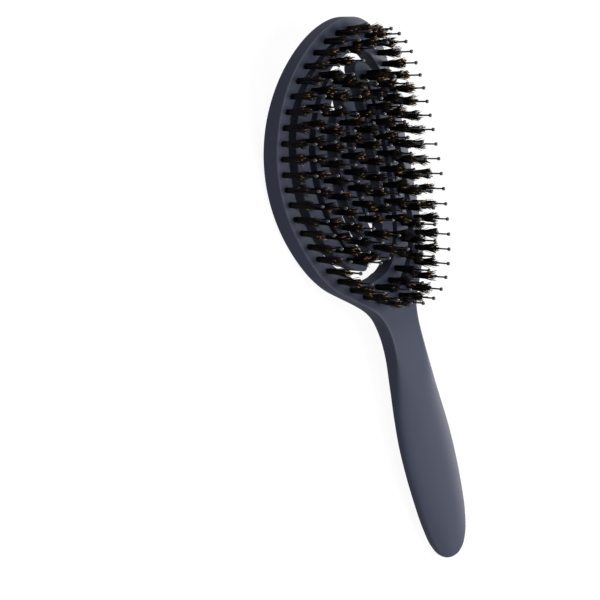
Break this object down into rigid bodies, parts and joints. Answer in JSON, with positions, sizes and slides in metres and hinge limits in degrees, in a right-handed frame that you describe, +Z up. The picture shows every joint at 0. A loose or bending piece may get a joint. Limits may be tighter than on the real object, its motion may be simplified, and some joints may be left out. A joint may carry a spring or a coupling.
{
  "type": "boar bristle grooming brush",
  "caption": "Hair brush with an oval open-vent head: a rim and two folded spring arms carry boar bristle tufts, each with a ball-tipped nylon pin, on a flat-faced neck and oval grip.",
  "frame": {"origin": "centre of the bounding box's bottom: the brush lies on its back, on the two sides of its rim and the handle's end", "axes": "+Y from the handle to the head's top, +Z up out of the bristle side, +X to the right seen from the bristle side"},
  "size_m": [0.0777, 0.2392, 0.0511],
  "materials": {
    "moulding": "soft-touch matt slate",
    "boar_bristle": "natural dark bristle with lighter split ends",
    "nylon_pin": "gloss black nylon",
    "staple_wire": "drawn wire"
  },
  "bodies": {
    "frame": {"brush_frame": "moulding", "left_rim_boar_tufts": "boar_bristle", "left_rim_ball_pins": "nylon_pin", "left_rim_staples": "staple_wire", "right_rim_boar_tufts": "boar_bristle", "right_rim_ball_pins": "nylon_pin", "right_rim_staples": "staple_wire"},
    "lower_arm": {"lower_spring_arm": "moulding", "lower_arm_outer_leg_boar_tufts": "boar_bristle", "lower_arm_outer_leg_ball_pins": "nylon_pin", "lower_arm_outer_leg_staples": "staple_wire", "lower_arm_middle_leg_boar_tufts": "boar_bristle", "lower_arm_middle_leg_ball_pins": "nylon_pin", "lower_arm_middle_leg_staples": "staple_wire", "lower_arm_inner_leg_boar_tufts": "boar_bristle", "lower_arm_inner_leg_ball_pins": "nylon_pin", "lower_arm_inner_leg_staples": "staple_wire"},
    "upper_arm": {"upper_spring_arm": "moulding", "upper_arm_outer_leg_boar_tufts": "boar_bristle", "upper_arm_outer_leg_ball_pins": "nylon_pin", "upper_arm_outer_leg_staples": "staple_wire", "upper_arm_middle_leg_boar_tufts": "boar_bristle", "upper_arm_middle_leg_ball_pins": "nylon_pin", "upper_arm_middle_leg_staples": "staple_wire", "upper_arm_inner_leg_boar_tufts": "boar_bristle", "upper_arm_inner_leg_ball_pins": "nylon_pin", "upper_arm_inner_leg_staples": "staple_wire"}
  },
  "joints": [
    {"name": "lower_arm_flex", "type": "hinge", "parent": "frame", "child": "lower_arm", "pos_m": [0, 0.00679, 0.01163], "axis": [-1, 0, 0], "range_deg": [-4, 6], "stiffness_Nm_per_rad": 1.2},
    {"name": "upper_arm_flex", "type": "hinge", "parent": "frame", "child": "upper_arm", "pos_m": [0, 0.10708, 0.02455], "axis": [1, 0, 0], "range_deg": [-4, 6], "stiffness_Nm_per_rad": 1.2}
  ]
}
